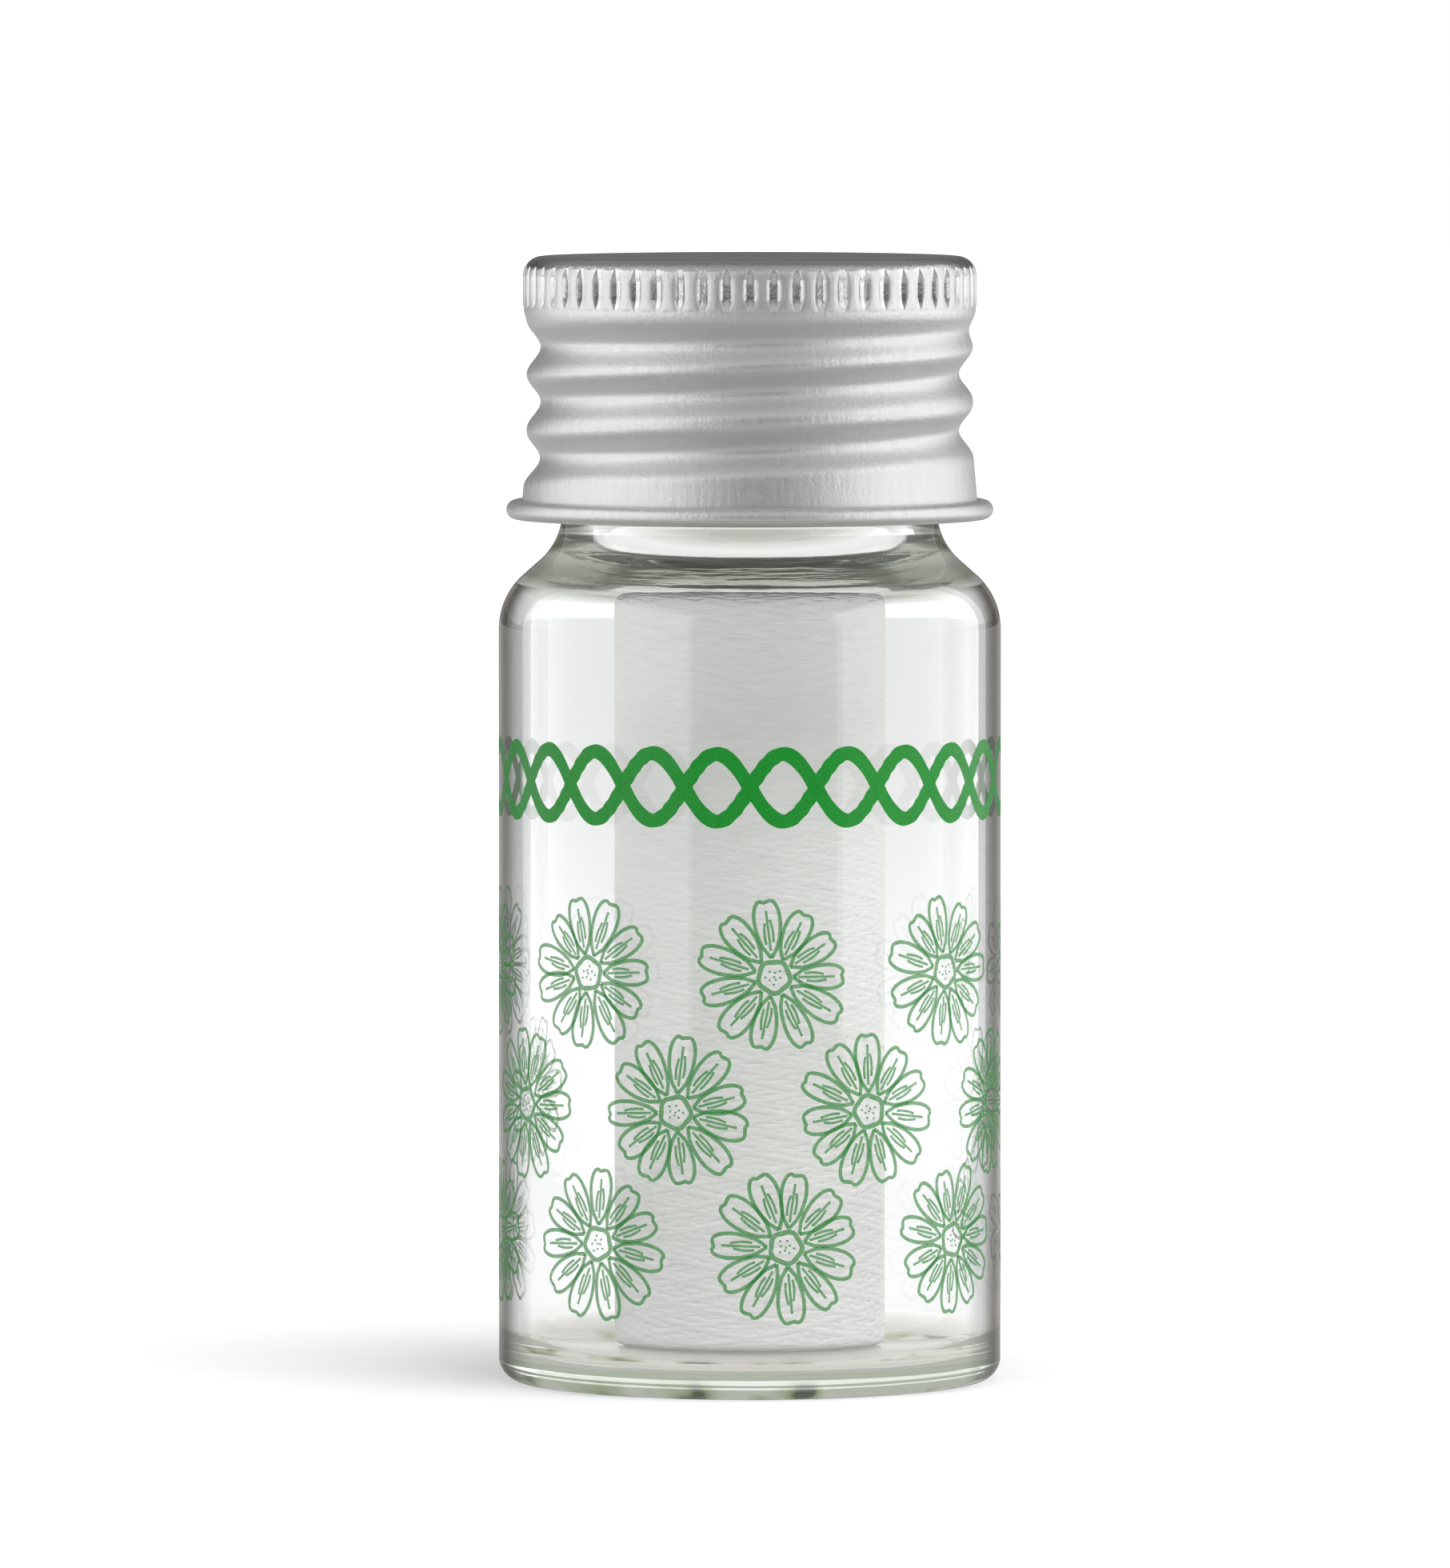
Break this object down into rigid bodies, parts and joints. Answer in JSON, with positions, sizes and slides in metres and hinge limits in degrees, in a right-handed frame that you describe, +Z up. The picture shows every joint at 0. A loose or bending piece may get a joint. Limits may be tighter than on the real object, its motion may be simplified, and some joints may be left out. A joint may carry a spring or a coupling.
{
  "type": "dental floss dispenser",
  "caption": "Clear glass vial with a rounded shoulder and a screw neck, a knurled aluminium screw cap, a steel eyelet plug with a cutter, and a cross-wound floss bobbin inside.",
  "frame": {"origin": "middle of the vial's base, on the plane that it stands on", "axes": "+Z up along the vial's axis, +X to the right and -Y towards the viewer of the pictured side"},
  "size_m": [0.028, 0.028, 0.0627],
  "materials": {
    "glass": "clear tubular glass with a faint green edge, printed on the outside in green",
    "steel": "pressed stainless sheet",
    "foam": "white closed-cell foam",
    "aluminium": "satin, uncoated",
    "floss": "waxed white strand"
  },
  "bodies": {
    "vial": {"glass_vial": "glass", "cutter_plug": "steel"},
    "liner": {"cap_liner": "foam"},
    "cap": {"cap_shell": "aluminium"},
    "bobbin": {"floss_core": "floss", "floss_winding": "floss"}
  },
  "joints": [
    {"name": "cap_rise", "type": "slide", "parent": "vial", "child": "liner", "axis": [0, 0, 1], "range_m": [0, 0.01587]},
    {"name": "cap_turn", "type": "hinge", "parent": "liner", "child": "cap", "pos_m": [0, 0, 0.0555], "axis": [0, 0, 1], "range_deg": [0, 1800]},
    {"name": "bobbin_spin", "type": "hinge", "parent": "vial", "child": "bobbin", "pos_m": [0, 0, 0.023], "axis": [0, 0, 1], "continuous": true}
  ],
  "couplings": [
    {"joint": "cap_turn", "follows": "cap_rise", "rad_per_m": 1979}
  ]
}
